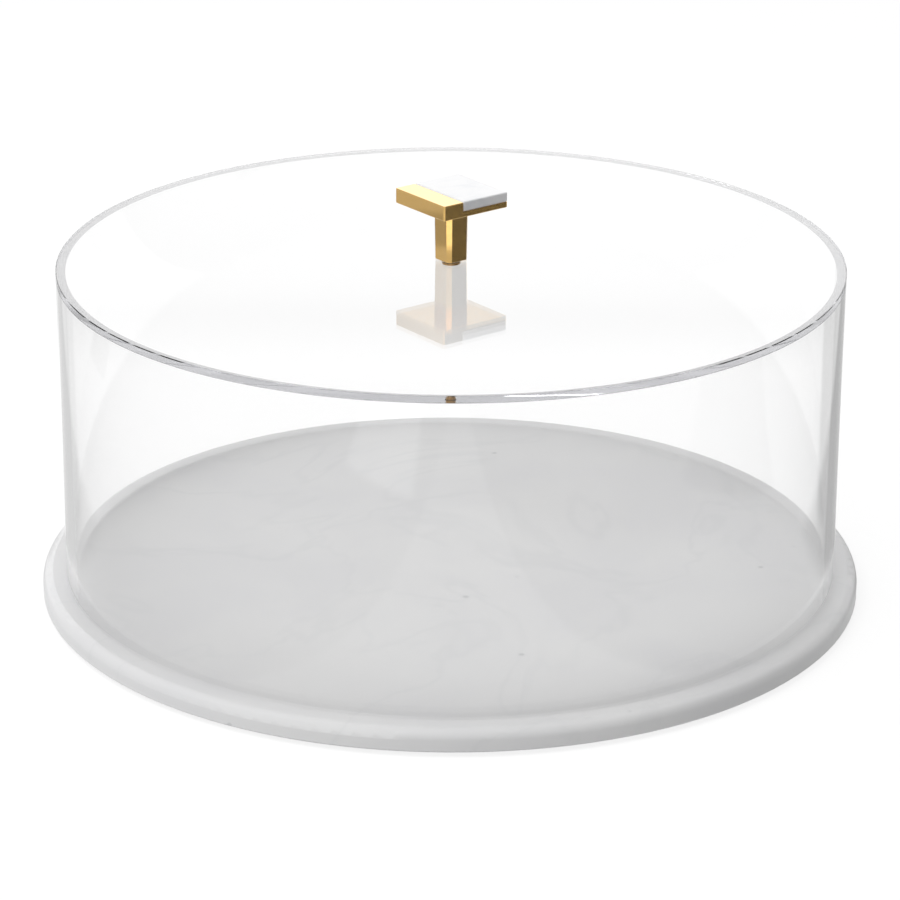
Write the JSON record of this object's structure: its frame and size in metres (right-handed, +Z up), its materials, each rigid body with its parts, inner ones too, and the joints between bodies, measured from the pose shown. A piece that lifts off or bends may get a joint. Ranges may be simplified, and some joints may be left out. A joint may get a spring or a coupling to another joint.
{
  "type": "cake dome",
  "caption": "Round clear cover with a flat top and a square metal-and-marble knob, standing on a round white marble base with a soft round-over.",
  "frame": {"origin": "centre of the plane that the four feet stand on", "axes": "+Z up along the base's and cover's common axis; the knob's square lies along X and Y, with the bare metal strip of its head on the -X side"},
  "size_m": [0.33, 0.33, 0.1666],
  "materials": {
    "white_marble": "honed and sealed, almost without veins",
    "clear_silicone": "soft, translucent, as moulded",
    "clear_acrylic": "clear, polished edges",
    "gold_plate": "polished gold plating",
    "inlay_marble": "polished, softened edges",
    "screw_brass": "bright, as turned"
  },
  "bodies": {
    "base": {"marble_base": "white_marble", "foot_1": "clear_silicone", "foot_2": "clear_silicone", "foot_3": "clear_silicone", "foot_4": "clear_silicone"},
    "dome": {"dome_wall": "clear_acrylic", "dome_plate": "clear_acrylic", "stem_gasket": "clear_silicone", "knob_stem": "gold_plate", "knob_head": "gold_plate", "knob_inlay": "inlay_marble", "knob_screw": "screw_brass"}
  },
  "joints": [
    {"name": "dome_lift", "type": "slide", "parent": "base", "child": "dome", "axis": [0, 0, 1], "range_m": [0, 0.16]}
  ]
}
